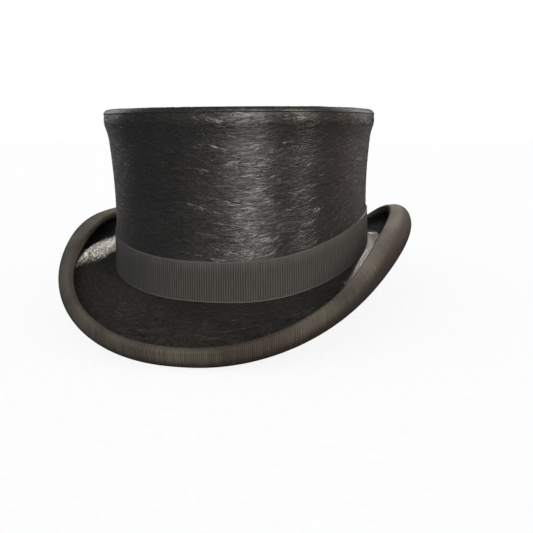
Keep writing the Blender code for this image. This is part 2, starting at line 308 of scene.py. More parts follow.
def cloth_lengths(points, row):
    """Lengths around, measured along one row, and across, as the cloth's own map."""
    u = np.broadcast_to(steps_along(points[:, row], 0)[:, None], points.shape[:2])
    return np.stack([u, steps_along(points, 1)], axis=-1)


def new_mesh(name, vertices, faces, lengths=None):
    """A smooth mesh from arrays of vertices and faces, with a length pair for each vertex as its UV map."""
    mesh = bpy.data.meshes.new(name)
    mesh.from_pydata(vertices.reshape(-1, 3).tolist(), [], faces.reshape(-1, faces.shape[-1]).tolist())
    if lengths is not None:
        layer = mesh.uv_layers.new(name=CLOTH_UV)
        corners = np.zeros(len(mesh.loops), np.int32)
        mesh.loops.foreach_get("vertex_index", corners)
        layer.data.foreach_set("uv", lengths.reshape(-1, 2)[corners].astype(np.float32).ravel())
    mesh.shade_smooth()
    return mesh


def add_piece(name, mesh, material, slot, *nodes):
    """Adds a piece that rides on the hat's body and may stand for CAD nodes."""
    mesh.materials.append(material)
    piece = bpy.data.objects.new(name, mesh)
    HAT.objects.link(piece)
    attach(piece, BODY)
    if nodes:
        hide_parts(*nodes)
    return piece


def grid_faces(columns, rows):
    corner = np.arange((columns - 1) * rows).reshape(columns - 1, rows)[:, :-1]
    return np.stack([corner, corner + rows, corner + rows + 1, corner + 1], axis=-1)


def thickened(mesh, thickness):
    """The mesh with its doubled seam points joined, made thick on both sides and sharp at its cut edges."""
    maker = bpy.data.objects.new("maker", mesh)
    bpy.context.scene.collection.objects.link(maker)
    weld = maker.modifiers.new("Weld", "WELD")
    weld.merge_threshold = WELD_DISTANCE
    thicken = maker.modifiers.new("Thickness", "SOLIDIFY")
    thicken.thickness = thickness
    thicken.offset = 0.0
    thicken.use_even_offset = True
    thicken.use_quality_normals = True
    made = bpy.data.meshes.new_from_object(maker.evaluated_get(bpy.context.evaluated_depsgraph_get()))
    made.set_sharp_from_angle(angle=math.radians(SHARP_ANGLE))
    bpy.data.objects.remove(maker)
    return made


def skin(name, points, thickness, material, slot, nodes, row=0):
    """A layer of cloth or leather over a grid of points, with lengths around it as they are along one row."""
    mesh = new_mesh(name, points, grid_faces(*points.shape[:2]), cloth_lengths(points, row))
    mesh = thickened(mesh, thickness)
    mesh.name = name
    return add_piece(name, mesh, material, slot, *nodes)


def cut(points):
    """The flat area of a grid of points, its mean length around and its mean width across."""
    across = points[:-1, 1:] - points[:-1, :-1]
    along = points[1:, :-1] - points[:-1, :-1]
    area = float(np.linalg.norm(np.cross(across, along), axis=-1).sum())
    width = float(steps_along(points, 1)[:, -1].mean())
    return area, area / width, width


def strip_sheet(piece, points, held, rests_on, with_pieces=()):
    """Gives back a piece that is cut as a straight strip, as it is."""
    return piece


def oval_sheet(piece, points, held, rests_on, with_pieces=()):
    """Works out the area of a piece that is cut as an oval or a ring, from a rectangle that just holds it,
    and gives back nothing.
    """
    area = cut(points)[0]
    low, high = points.reshape(-1, 3).min(0), points.reshape(-1, 3).max(0)
    flat = tuple(float(size) for size in (high - low)[:2])
    area = min(area, flat[0] * flat[1])


# -------- materials

class Looks:
    """One material's node tree. An input that is given a socket is linked, and any other one is set."""

    def __init__(self, name, roughness, **constants):
        self.material = bpy.data.materials.new(name)
        self.material.use_nodes = True
        self.tree = self.material.node_tree
        self.shader = self.tree.nodes["Principled BSDF"]
        self.feed(self.shader, {"Roughness": roughness})
        self.feed(self.shader, {key.replace("_", " "): value for key, value in constants.items()})

    def feed(self, node, inputs):
        for key, value in inputs.items():
            if isinstance(value, bpy.types.NodeSocket):
                self.tree.links.new(value, node.inputs[key])
            else:
                node.inputs[key].default_value = value

    def node(self, kind, inputs=None, **settings):
        made = self.tree.nodes.new("ShaderNode" + kind)
        for key, value in settings.items():
            setattr(made, key, value)
        self.feed(made, inputs or {})
        return made

    def math(self, operation, a, b=0.0):
        return self.node("Math", {0: a, 1: b}, operation=operation).outputs[0]

    def span(self, value, low, high, to_low=0.0, to_high=1.0):
        """The value's place between low and high, clamped."""
        inputs = {"Value": value, "From Min": low, "From Max": high, "To Min": to_low, "To Max": to_high}
        return self.node("MapRange", inputs, interpolation_type="SMOOTHSTEP").outputs[0]

    def mix(self, factor, a, b):
        return self.node("Mix", {0: factor, 6: a, 7: b}, data_type="RGBA").outputs[2]

    def lengths(self):
        """The cloth's own lengths in metres: (both as a vector, around, across)."""
        uv = self.node("UVMap", uv_map=CLOTH_UV).outputs["UV"]
        apart = self.node("SeparateXYZ", {0: uv})
        return uv, apart.outputs[0], apart.outputs[1]

    def place(self):
        return self.node("TexCoord").outputs["Object"]

    def noise(self, vector, size, detail=2.0, roughness=0.5, distortion=0.0):
        """Noise whose features are about size big: a number, or one for each axis."""
        sizes = size if isinstance(size, tuple) else (size, size, size)
        scaled = self.node("Mapping", {"Vector": vector, "Scale": tuple(1 / s for s in sizes)}).outputs[0]
        shape = {"Scale": 1.0, "Detail": detail, "Roughness": roughness, "Distortion": distortion}
        return self.node("TexNoise", {"Vector": scaled, **shape}).outputs["Fac"]

    def finish(self, colour, height=None, depth=0.1 * MM, roughness=None):
        """Sets the colour, and the bump from a height between 0 and 1 that stands for a depth."""
        self.feed(self.shader, {"Base Color": colour})
        if height is not None:
            bump = self.node("Bump", {"Height": height, "Distance": depth, "Strength": 1.0})
            self.feed(self.shader, {"Normal": bump.outputs[0]})
        if roughness is not None:
            self.feed(self.shader, {"Roughness": roughness})
        return self.material


def rgb(red, green, blue):
    return (red, green, blue, 1.0)


def plush(name, dark, light, streak, depth, anisotropy, smooth, coarse, shine):
    """Silk plush: a laid pile, whose hairs run around the hat, so that it shines in upright bands. Its
    roughness goes from smooth to coarse in patches."""
    looks = Looks(name, 0.42, Specular_IOR_Level=shine, Anisotropic=anisotropy, Anisotropic_Rotation=0.25,
                  Sheen_Weight=0.04, Sheen_Roughness=0.4, Sheen_Tint=rgb(0.75, 0.8, 0.9))
    tangent = looks.node("Tangent", direction_type="RADIAL", axis="Z").outputs[0]
    looks.feed(looks.shader, {"Tangent": tangent})
    uv = looks.lengths()[0]
    hairs = looks.noise(uv, streak, detail=3.0, roughness=0.65)
    locks = looks.noise(uv, tuple(3.2 * s for s in streak), detail=2.0)
    patches = looks.noise(looks.place(), 28 * MM, detail=3.0)
    tone = looks.math("MULTIPLY", looks.span(hairs, 0.35, 0.75), looks.span(patches, 0.25, 0.75, 0.5, 1.0))
    height = looks.math("ADD", looks.math("MULTIPLY", hairs, 0.5), looks.math("MULTIPLY", locks, 0.5))
    rough = looks.span(patches, 0.3, 0.7, smooth, coarse)
    return looks.finish(looks.mix(tone, dark, light), height, depth, rough)


def hair(name, dark, light, roughness):
    """Single hairs of the nap, each with its own tone."""
    looks = Looks(name, roughness, Specular_IOR_Level=0.55, Sheen_Weight=0.05)
    tone = looks.node("Attribute", attribute_name="tone").outputs["Fac"]
    along = looks.noise(looks.place(), 1.2 * MM, detail=2.0)
    shade = looks.math("MULTIPLY", tone, looks.span(along, 0.3, 0.7, 0.6, 1.0))
    return looks.finish(looks.mix(shade, dark, light), along, 0.12 * MM)


def grosgrain(name, shaded_valley, lit_crest, paler_colour, pitch, width, paler_from, paler_to):
    """Ribbed ribbon: ribs across its width, fine threads along it, and a smooth selvage at each edge.
    Its colour follows the ribs, from the shaded valley colour to the lit crest colour: painted shade in the
    valleys and painted light on the crests. It turns paler across its width, between two distances from its
    first edge, and in soft patches."""
    looks = Looks(name, 0.5, Specular_IOR_Level=0.06, Sheen_Weight=0.02, Sheen_Roughness=0.5)
    uv, u, v = looks.lengths()
    wave = looks.math("SINE", looks.math("MULTIPLY", u, 2 * math.pi / pitch))
    rib = looks.math("MULTIPLY_ADD", wave, 0.5)
    rib.node.inputs[2].default_value = 0.5
    threads = looks.noise(uv, (0.5 * pitch, 0.22 * MM, 1.0), detail=1.0)
    uneven = looks.noise(uv, (pitch, 14 * MM, 1.0), detail=2.0)
    from_middle = looks.math("ABSOLUTE", looks.math("SUBTRACT", v, width / 2))
    edge = looks.span(from_middle, width / 2 - SELVAGE, width / 2 - 0.7 * SELVAGE)
    # Painted shade in the rib valleys and painted light on the rib crests
    woven = looks.mix(looks.span(rib, 0.1, 0.9), shaded_valley, lit_crest)
    patches = looks.noise(looks.place(), 35 * MM, detail=3.0)
    paler_patches = looks.span(patches, 0.3, 0.65, 0.35, 1.0)
    # A paler colour across the width, in patches: on the binding this is painted light on its top
    paler_share = looks.math("MULTIPLY", looks.span(v, paler_from, paler_to), paler_patches)
    colour = looks.mix(paler_share, woven, looks.mix(looks.span(rib, 0.0, 1.0, 0.55, 1.0), shaded_valley, paler_colour))
    colour = looks.mix(looks.span(uneven, 0.3, 0.7, 0.0, 0.35), colour, shaded_valley)
    colour = looks.mix(looks.math("MULTIPLY", edge, 0.6), colour, paler_colour)
    ribbed = looks.math("MULTIPLY", rib, looks.math("SUBTRACT", 1.0, edge))
    height = looks.math("ADD", ribbed, looks.math("MULTIPLY", threads, 0.35))
    height = looks.math("ADD", height, looks.math("MULTIPLY", edge, 0.9))
    return looks.finish(colour, height, 0.16 * MM, looks.span(threads, 0.2, 0.8, 0.6, 0.8))


def merino():
    """The fine fulled cloth under the brim."""
    looks = Looks("merino", 0.85, Specular_IOR_Level=0.2, Sheen_Weight=0.12, Sheen_Roughness=0.35)
    twill = looks.node("TexWave", {"Vector": looks.place(), "Scale": 480.0, "Distortion": 1.2, "Detail": 2.0},
                       bands_direction="DIAGONAL").outputs["Fac"]
    fuzz = looks.noise(looks.place(), 0.5 * MM, detail=4.0, roughness=0.7)
    patches = looks.noise(looks.place(), 22 * MM, detail=3.0)
    tone = looks.math("MULTIPLY", looks.span(fuzz, 0.3, 0.8), looks.span(patches, 0.2, 0.8, 0.4, 1.0))
    height = looks.math("ADD", looks.math("MULTIPLY", twill, 0.4), fuzz)
    return looks.finish(looks.mix(tone, rgb(0.008, 0.007, 0.008), rgb(0.04, 0.036, 0.036)), height, 0.1 * MM)


def satin():
    """Ivory satin: long floats along one way, a soft shine, and a little yellowing in patches."""
    looks = Looks("lining_satin", 0.36, Specular_IOR_Level=0.5, Anisotropic=0.6, Sheen_Weight=0.15)
    looks.feed(looks.shader, {"Tangent": looks.node("Tangent", direction_type="RADIAL", axis="Z").outputs[0]})
    uv = looks.lengths()[0]
    floats = looks.noise(uv, (0.15 * MM, 2.2 * MM, 1.0), detail=2.0)
    stain = looks.noise(looks.place(), 30 * MM, detail=4.0, roughness=0.6)
    clean = looks.mix(floats, rgb(0.60, 0.55, 0.46), rgb(0.74, 0.70, 0.61))
    colour = looks.mix(looks.span(stain, 0.45, 0.75, 0.0, 0.6), clean, rgb(0.50, 0.40, 0.26))
    return looks.finish(colour, floats, 0.03 * MM, looks.span(stain, 0.3, 0.7, 0.3, 0.45))


def leather():
    """Tan sweatband leather: fine pores, soft creases, a line pressed near its top edge, and a darker top."""
    looks = Looks("sweatband_leather", 0.45, Specular_IOR_Level=0.45)
    uv, u, v = looks.lengths()
    cells = looks.node("TexVoronoi", {"Vector": looks.place(), "Scale": 1 / (1.1 * MM)},
                       feature="DISTANCE_TO_EDGE")
    pores = looks.span(cells.outputs["Distance"], 0.0, 0.25)
    creases = looks.noise(uv, (9 * MM, 2.5 * MM, 1.0), detail=4.0, distortion=0.6)
    wear = looks.noise(looks.place(), 24 * MM, detail=4.0, roughness=0.6)
    soiled = rgb(0.10, 0.05, 0.025)
    colour = looks.mix(looks.span(wear, 0.3, 0.7), rgb(0.23, 0.11, 0.05), rgb(0.38, 0.20, 0.095))
    dark_top = looks.span(v, SWEATBAND_WIDTH - 5 * MM, SWEATBAND_WIDTH, 0.0, 0.55)
    colour = looks.mix(dark_top, colour, soiled)
    colour = looks.mix(looks.span(pores, 0.0, 1.0, 0.35, 0.0), colour, soiled)
    line = looks.math("ABSOLUTE", looks.math("SUBTRACT", v, SWEATBAND_WIDTH - 3.5 * MM))
    groove = looks.span(line, 0.0, 0.35 * MM)
    height = looks.math("ADD", looks.math("MULTIPLY", pores, 0.25), looks.math("MULTIPLY", creases, 0.5))
    height = looks.math("ADD", height, looks.math("MULTIPLY", groove, 0.8))
    return looks.finish(colour, height, 0.15 * MM, looks.span(creases, 0.3, 0.7, 0.36, 0.55))


def stiffened(name, dark, light, thread, shine):
    """Coarse cloth stiffened with shellac or starch, with its plain weave showing."""
    looks = Looks(name, 0.6, Specular_IOR_Level=shine)
    place = looks.place()
    ribs = {"Vector": place, "Scale": 0.32 / thread, "Distortion": 0.6}
    warp, weft = (looks.node("TexWave", ribs, bands_direction=way) for way in ("Z", "DIAGONAL"))
    weave = looks.math("MULTIPLY", warp.outputs["Fac"], weft.outputs["Fac"])
    soaked = looks.noise(place, 18 * MM, detail=4.0)
    deep = looks.span(soaked, 0.3, 0.7, 0.5, 1.0)
    tone = looks.math("MULTIPLY", looks.span(weave, 0.0, 0.7, 0.4, 1.0), deep)
    rough = looks.span(soaked, 0.3, 0.7, 0.45, 0.75)
    return looks.finish(looks.mix(tone, dark, light), weave, 0.12 * MM, rough)


def thread_look(name, colour):
    """Twisted sewing thread."""
    looks = Looks(name, 0.6, Sheen_Weight=0.1)
    twist = looks.node("TexWave", {"Vector": looks.place(), "Scale": 900.0, "Distortion": 0.5},
                       bands_direction="DIAGONAL").outputs["Fac"]
    dark = rgb(*(0.55 * part for part in colour[:3]))
    return looks.finish(looks.mix(twist, dark, colour), twist, 0.05 * MM)


# -------- nap

def hairs(name, surface, u, v, angle, length, width, lift, roll, tone, material, slot):
    """Flat hairs that lie along a surface. surface(u, v, lift) gives points, with u in radians around and v
    across. Each hair starts in the pile, runs at an angle to the way around, and its tip stands up by lift.
    One side of each stands higher than the other by roll, so that hairs catch the light one by one."""
    spots = np.array([0.0, 0.5, 1.0])[None, :, None]
    sides = np.array([-0.5, 0.5])[None, None, :]
    small = 0.001
    around_step = surface(u + small, v, 0.0) - surface(u - small, v, 0.0)
    per_radian = np.linalg.norm(around_step, axis=-1) / (2 * small)
    u, v, angle, length, width, lift, roll, per_radian = (
        part[:, None, None] for part in (u, v, angle, length, width, lift, roll, per_radian))
    bend = angle + HAIR_BEND * np.sin(17 * u + 900 * v) * spots
    taper = 1 - HAIR_TAPER * spots ** 2
    forward = length * spots
    sideways = width * taper * sides
    u_at = u + (forward * np.cos(bend) - sideways * np.sin(bend)) / per_radian
    v_at = v + forward * np.sin(bend) + sideways * np.cos(bend)
    lift_at = lift * (spots ** 1.5 - HAIR_ROOT) + roll * 2 * sides * (1 - spots)
    vertices = surface(u_at, v_at, lift_at)
    corners = spots.size * sides.size
    quads = np.array([[0, 2, 3, 1], [2, 4, 5, 3]])
    faces = np.arange(len(vertices))[:, None, None] * corners + quads[None]
    mesh = new_mesh(name, vertices, faces.reshape(-1, 4))
    tones = mesh.attributes.new("tone", "FLOAT", "POINT")
    tones.data.foreach_set("value", np.repeat(tone, corners).astype(np.float32))
    return add_piece(name, mesh, material, slot)


def lock_of(u, v, length, width):
    """The number of the lock that each hair at u, v in metres lies in, on rows of staggered locks."""
    row = np.floor(v / width)
    column = np.floor(u / length + 0.618 * row)
    return (row * 2659 + column * 463).astype(int) % LOCK_KINDS


def lock_values(locks, spread):
    """A random value for each hair: its lock's, and a small part of its own."""
    return random.normal(0, spread, LOCK_KINDS)[locks] + random.normal(0, 0.35 * spread, len(locks))


def tones_for(count, stray):
    """Mostly dark hairs, with a few pale ones last."""
    tone = random.beta(1.6, 5.0, count)
    tone[count - stray:] = random.uniform(0.6, 1.0, stray)
    return tone


def crown_nap(material):
    """The side plush's nap, brushed round the crown, and ruffled in patches low down."""
    count = CROWN_HAIRS
    u = random.uniform(0, 2 * math.pi, count)
    low = BAND_WIDTH - 0.5 * MM
    v = low + (TOP - joint_height(u) - low - 0.05 * MM) * random.uniform(0, 1, count)
    x = u * HALF_WIDTH
    ruffled = np.clip(drift(x, v, 60 * MM) + 0.2, 0, 1) * np.clip(1.6 - v / (30 * MM), 0, 1)
    locks = lock_of(x, v, *CROWN_LOCK)
    angle = math.pi + lock_values(locks, 0.10) + 0.05 * drift(x, v, 22 * MM) + 0.9 * ruffled
    length = random.uniform(2.0, 4.5, count) * MM
    width = random.uniform(*HAIR_WIDTHS, count) * MM
    lift = np.abs(0.07 + lock_values(locks, 0.05)) * MM + 0.4 * MM * ruffled * random.uniform(0, 1, count)
    roll = lock_values(locks, 0.03) * MM

    def surface(turn, height, up):
        wall_top = TOP - joint_height(turn) - TIP_CORNER
        over = np.clip((height - wall_top) / TIP_CORNER, 0, 1)
        inward = TIP_CORNER * (1 - np.sqrt(np.clip(1 - over ** 2, 0, 1)))
        out = up - inward + HAIR_SINK + fullness(turn, height)
        return crown_point(turn, np.minimum(height, wall_top + TIP_CORNER), out)

    tone = tones_for(count, CROWN_STRAYS)
    return hairs("crown_nap", surface, u, v, angle, length, width, lift, roll, tone, material, "crown_plush")


def brim_nap(material):
    """The brim's ruffled nap, in swirling locks, with a few pale stray hairs."""
    count = BRIM_HAIRS
    u = random.uniform(0, 2 * math.pi, count)
    end = brim_lengths(oval(u)[4])[2]
    v = 1.5 * MM + (end - 3.0 * MM) * np.sqrt(random.uniform(0, 1, count))
    x, y = (HALF_WIDTH + v) * np.cos(u), (HALF_LENGTH + v) * np.sin(u)
    locks = lock_of(x + 0.3 * y, v, *BRIM_LOCK)
    angle = math.pi + 1.1 * drift(x, y, 26 * MM) + 0.5 * drift(x, y, 9 * MM) + lock_values(locks, 0.35)
    length = random.uniform(2.5, 5.5, count) * MM
    width = random.uniform(*HAIR_WIDTHS, count) * MM
    lift = np.abs(0.25 + lock_values(locks, 0.22)) * MM
    roll = lock_values(locks, 0.045) * MM
    upper = PLUSH_AT - BRIM_PLUSH / 2

    def surface(turn, along, up):
        return brim_point(turn, np.clip(along, 0.6 * MM, None), upper - HAIR_SINK - up)

    tone = tones_for(count, BRIM_STRAYS)
    return hairs("brim_nap", surface, u, v, angle, length, width, lift, roll, tone, material, "brim_plush")


def tip_nap(material):
    """The tip's nap, brushed round in one whorl."""
    count = TIP_HAIRS
    u = random.uniform(0, 2 * math.pi, count)
    v = np.sqrt(random.uniform(0.0004, 1, count))
    x = u * HALF_WIDTH
    angle = math.pi + 0.14 * random.normal(0, 1, count) + 0.2 * drift(x, v, 0.4)
    length = random.uniform(2.5, 5.0, count) * MM
    width = random.uniform(*HAIR_WIDTHS, count) * MM
    lift = np.abs(random.normal(0.12, 0.1, count)) * MM
    roll = random.normal(0, 0.07, count) * MM

    def surface(turn, share, up):
        rim = stand_out(turn, crown_swell(1) - TIP_SEAM, TOP + up)
        share = np.clip(share, 0.01, 0.995)
        rim[..., :2] *= share[..., None]
        return rim

    tone = tones_for(count, TIP_STRAYS)
    return hairs("tip_nap", surface, u, v, angle, length, width, lift, roll, tone, material, "crown_plush")


# -------- crown

def make_crown_plush(material):
    """The side plush, which turns over the crown's square edge to the seam with the tip plush. Its edge waves
    slightly, as a brushed old hat's does."""
    turn = around()
    middle = -CROWN_PLUSH / 2
    level = TOP - CROWN_PLUSH / 2
    bend = level - TIP_CORNER
    wall_height = bend - joint_height(turn)
    height = -PLUSH_TUCK + (wall_height + PLUSH_TUCK) * shares(26)
    wall = crown_point(turn, height, middle + fullness(turn, height))
    angle = np.radians(np.linspace(0, 90, 9))[None, 1:]
    edge = middle + crown_swell(1) - TIP_CORNER
    out = edge + (TIP_CORNER + fullness(turn, wall_height)) * np.cos(angle)
    wave = EDGE_WAVE * drift(*oval(turn)[:2], EDGE_WAVE_REACH)
    corner = stand_out(turn, out, bend + (TIP_CORNER + wave) * np.sin(angle))
    inward = shares(4)[:, 1:]
    seam = stand_out(turn, edge + inward * (crown_swell(1) - TIP_SEAM - edge), level + wave * (1 - inward))
    points = np.concatenate([wall, corner, seam], axis=1)
    return skin("side_plush", points, CROWN_PLUSH, material, "crown_plush", ["crown_plush"]), points


def flat_rings(turn, out, height, sizes):
    """Rings of points from an oval's rim, by their sizes as shares of it, down to its middle at 0."""
    rings = np.array(sizes)[None, :, None]
    points = stand_out(turn, out, height)[:, :1] * np.ones_like(rings, dtype=float)
    points[..., :2] *= rings
    return points


def make_tip_plush(material):
    sizes = (1, 0.995, 0.98, 0.94, 0.86, 0.72, 0.56, 0.4, 0.24, 0.1, 0)
    points = flat_rings(around(), crown_swell(1) - TIP_SEAM - GAP, TOP - CROWN_PLUSH / 2, sizes)
    return skin("tip_cover", points, CROWN_PLUSH, material, "crown_plush", ["tip_plush"]), points


def make_side_lining(material):
    """Satin gathered into soft upright folds, closer at the top, inside the crown's shell."""
    turn = around(720)
    share = shares(16)
    fold = 0.5 + 0.5 * np.sin(turn * LINING_FOLDS + 1.5 * np.sin(turn * 7) + 0.6 * share)
    inward = (0.1 + 0.9 * share ** 2) * 0.7 * MM * fold
    top = LINING_TOP - 0.2 * MM - joint_height(turn)
    height = LINING_HEM + share * (top - LINING_HEM)
    points = crown_point(turn, height, LINING_OUT - LINING / 2 - inward)
    return skin("side_lining_satin", points, LINING, material, "lining_satin", ["side_lining"]), points


def make_tip_lining(material):
    """A flat satin oval, puckered where it meets the side lining."""
    turn = around(FINE_TURNS)
    sizes = (1, 0.985, 0.96, 0.92, 0.86, 0.76, 0.6, 0.4, 0.2, 0)
    out = crown_swell(1) + SWEATBAND_OUT - 0.8 * MM
    points = flat_rings(turn, out, LINING_TOP - LINING / 2, sizes)
    pucker = 0.5 - 0.5 * np.cos(LINING_FOLDS * turn)
    points[..., 2] -= 0.5 * MM * pucker * np.clip((np.array(sizes) - 0.84) / 0.16, 0, 1)
    return skin("tip_lining_satin", points, LINING, material, "lining_satin", ["tip_lining"]), points


# -------- brim

def brim_rows(turn, first, plate_rows, roll_rows, lip_rows):
    """Distances along the section for a skin's rows, from first to the lip's end, for each turn."""
    plate, roll, end = brim_lengths(oval(turn)[4])
    parts = [(first, plate, plate_rows), (plate, roll, roll_rows), (roll, end, lip_rows)]
    rows = [low + (high - low) * shares(count + 1)[:, :-1] for low, high, count in parts]
    return np.concatenate([*rows, end], axis=1)


def make_brim_plush(material):
    turn = around()
    rows = brim_rows(turn, -PLUSH_TUCK, plate_rows=20, roll_rows=22, lip_rows=2)
    points = brim_point(turn, rows, PLUSH_AT)
    return skin("brim_cover", points, BRIM_PLUSH, material, "brim_plush", ["brim_plush"]), points


def make_underbrim(material):
    """The cloth under the brim, which steps down over the joint strip next to the crown."""
    turn = around()
    rows = brim_rows(turn, 0.0, plate_rows=22, roll_rows=22, lip_rows=2)
    step = np.clip((CLOTH_STEP_END - rows) / CLOTH_STEP_LENGTH, 0, 1)
    points = brim_point(turn, rows, CLOTH_AT + CLOTH_STEP * step * step * (3 - 2 * step))
    inner = rim_point(turn, LINING_OUT, CLOTH_AT + CLOTH_STEP)
    points = np.concatenate([inner, points], axis=1)
    return skin("underbrim", points, UNDERBRIM, material, "underbrim_cloth", ["underbrim_cloth"]), points


def binding_points(turn):
    """Across the binding ribbon: up the outside of the roll, over the brim's edge, and a little way back."""
    plate, roll, end = brim_lengths(oval(turn)[4])
    middle = (OUTER_PLY_AT + INNER_PLY_AT) / 2
    reach = (OUTER_PLY_AT - INNER_PLY_AT) / 2
    outer = end - BINDING_OUTER * (1 - shares(BINDING_OUTER_ROWS))
    inner_width = end - roll + 0.2 * (roll - plate)
    inner = end - inner_width * shares(10)
    angle = np.radians(np.linspace(0, 180, 13))[None, 1:-1]
    outside = brim_point(turn, outer, OUTER_PLY_AT)
    fold = brim_point(turn, end + BINDING_FOLD * np.sin(angle), middle + reach * np.cos(angle))
    inside = brim_point(turn, inner, INNER_PLY_AT)
    return np.concatenate([outside, fold, inside], axis=1)


def make_binding(material):
    """The ribbon folded over the brim's edge. Its ribs keep their true pitch just on the fold."""
    points = binding_points(around(FINE_TURNS))
    on_fold = BINDING_OUTER_ROWS + 4
    return skin("edge_binding", points, RIBBON, material, "binding_ribbon", ["brim_binding"], on_fold), points


# -------- band and bow

def make_band(material):
    """The band, which fits a little loosely, with a raised cord of weave along each edge."""
    turn = around(FINE_TURNS)
    low = -0.2 * MM
    height = low + (BAND_WIDTH - low) * shares(19)
    edge = np.exp(-((height - low) / (0.5 * MM)) ** 2) + np.exp(-((BAND_WIDTH - height) / (0.5 * MM)) ** 2)
    loose = 0.10 * MM * (1 + drift(turn * HALF_WIDTH, height, 90 * MM))
    points = crown_point(turn, height, GAP + BAND_RIBBON / 2 + 0.08 * MM * edge + loose)
    return skin("ribbon_band", points, BAND_RIBBON, material, "band_ribbon", ["hat_band"], row=9), points


def make_bow_loop(name, node, side, material):
    """Half of the flat bow: a ribbon that runs out along the band, turns, and comes back a little full."""
    half = BOW_LENGTH / 2
    start = 0.6 * MM
    out_run = np.linspace(start, half, 16)
    fold = np.radians(np.linspace(-90, 90, 11))[1:-1]
    reach = LOOP_RISE / 2
    full = 0.5 * MM * np.sin(np.linspace(0, math.pi, 16))
    around_path = np.concatenate([out_run, half + reach * np.cos(fold), out_run[::-1]])
    out_path = np.concatenate([0 * out_run, reach + reach * np.sin(fold), LOOP_RISE + full])
    turn = side * around_path[:, None] / HALF_WIDTH
    from_knot = around_path[:, None] - start
    gather = 1.2 * MM * np.exp(-(from_knot / (9 * MM)) ** 2)
    share = shares(11)
    height = BOW_INSET + gather + (BAND_WIDTH - 2 * BOW_INSET - 2 * gather) * share
    pleat = 0.25 * MM * np.sin(share * 5 * math.pi) * np.exp(-(from_knot / (12 * MM)) ** 2)
    points = crown_point(turn, height, BOW_OUT + out_path[:, None] + 0.2 * MM + np.abs(pleat))
    return skin(name, points, RIBBON, material, "band_ribbon", [node], row=5), points


def make_bow_knot(material):
    """The ribbon wrapped over the middle of the bow, pinched into shallow pleats."""
    over = BOW_OUT + LOOP_RISE + RIBBON + 0.6 * MM
    middle = BAND_WIDTH / 2
    reach = middle - BOW_INSET + 0.3 * MM
    angle = np.linspace(-100, 100, 41)[None, :]
    bow = np.radians(np.clip(angle, -90, 90))
    height = middle + reach * np.sign(np.sin(bow)) * abs(np.sin(bow)) ** 0.55
    out = BOW_OUT + (over - BOW_OUT) * abs(np.cos(bow)) ** 0.35
    across = np.linspace(-1, 1, 25)[:, None]
    pinch = 1 - 0.16 * np.cos(bow) ** 2
    pleat = 0.22 * MM * (0.5 + 0.5 * np.cos(across * 3 * math.pi)) * np.cos(bow)
    points = crown_point(across * pinch * KNOT_WIDTH / 2 / HALF_WIDTH, height, out + pleat)
    return skin("bow_knot_wrap", points, RIBBON, material, "band_ribbon", ["bow_knot"], row=20), points


# -------- sweatband

def make_sweatband(material):
    """The leather strip inside the crown's foot. It leans in towards its free upper edge, in soft waves."""
    half_join = SWEATBAND_JOIN / 2 / HALF_LENGTH
    turn = np.linspace(math.pi / 2 + half_join, 2.5 * math.pi - half_join, TURNS + 1)[:, None]
    share = shares(20)
    wave = 0.5 + 0.5 * drift(turn * HALF_WIDTH, 0 * share, 70 * MM)
    inward = share ** 2 * (0.9 + 0.9 * wave) * MM
    points = crown_point(turn, -GAP + (SWEATBAND_WIDTH + GAP) * share, SWEATBAND_OUT - LEATHER / 2 - inward)
    return skin("sweatband_strip", points, LEATHER, material, "sweatband_leather", ["sweatband"], 10), points


def tube(name, paths, radius, material, slot, nodes=(), cyclic=False, roundness=1):
    """A curve piece of one or more round threads."""
    curve = bpy.data.curves.new(name, "CURVE")
    curve.dimensions = "3D"
    curve.bevel_depth = radius
    curve.bevel_resolution = roundness
    curve.use_fill_caps = not cyclic
    for path in paths:
        line = curve.splines.new("POLY")
        line.points.add(len(path) - 1)
        line.points.foreach_set("co", np.insert(path, 3, 1.0, axis=1).astype(np.float32).ravel())
        line.use_cyclic_u = cyclic
        line.use_smooth = True
    return add_piece(name, curve, material, slot, *nodes)


def make_reed(material):
    turn = np.linspace(0, 2 * math.pi, TURNS, endpoint=False)
    path = crown_point(turn, -2 * GAP - REED_RADIUS, SWEATBAND_OUT - REED_RADIUS)
    return tube("reed_cover", [path], REED_RADIUS, material, "sweatband_leather", ["sweatband_reed"],
                cyclic=True, roundness=3)


def make_sweatband_stitches(material):
    """A zigzag of thread that joins the sweatband to its reed."""
    pitch = 3.2 * MM
    count = int(2 * math.pi * HALF_LENGTH / pitch)
    inner = SWEATBAND_OUT - LEATHER - 0.1 * MM
    paths = []
    height = np.array([2.2, 0.9, -0.6]) * MM
    out = inner - np.array([0.0, 0.25, 0.1]) * MM
    for i in range(count):
        for lean in (-1, 1):
            turn = 2 * math.pi * (i + 0.25 * np.array([0, 0.5, 1.0]) * lean) / count
            paths.append(crown_point(turn, height, out))
    return tube("sweatband_stitching", paths, 0.14 * MM, material, "bow_ribbon")


def make_binding_stitches(material):
    """Small felling stitches along the binding's lower edge, on the underside of the brim."""
    count = 200
    paths = []
    for i in range(count):
        turn = 2 * math.pi * (i + np.array([0.0, 0.15, 0.3])) / count
        end = brim_lengths(oval(turn)[4])[2]
        along = end - BINDING_OUTER + np.array([-0.5, 0.1, 0.6]) * MM
        under = OUTER_PLY_AT + np.array([-0.15, 0.35, 0.3]) * MM
        paths.append(brim_point(turn, along, under))
    return tube("binding_stitching", paths, 0.1 * MM, material, "binding_ribbon")


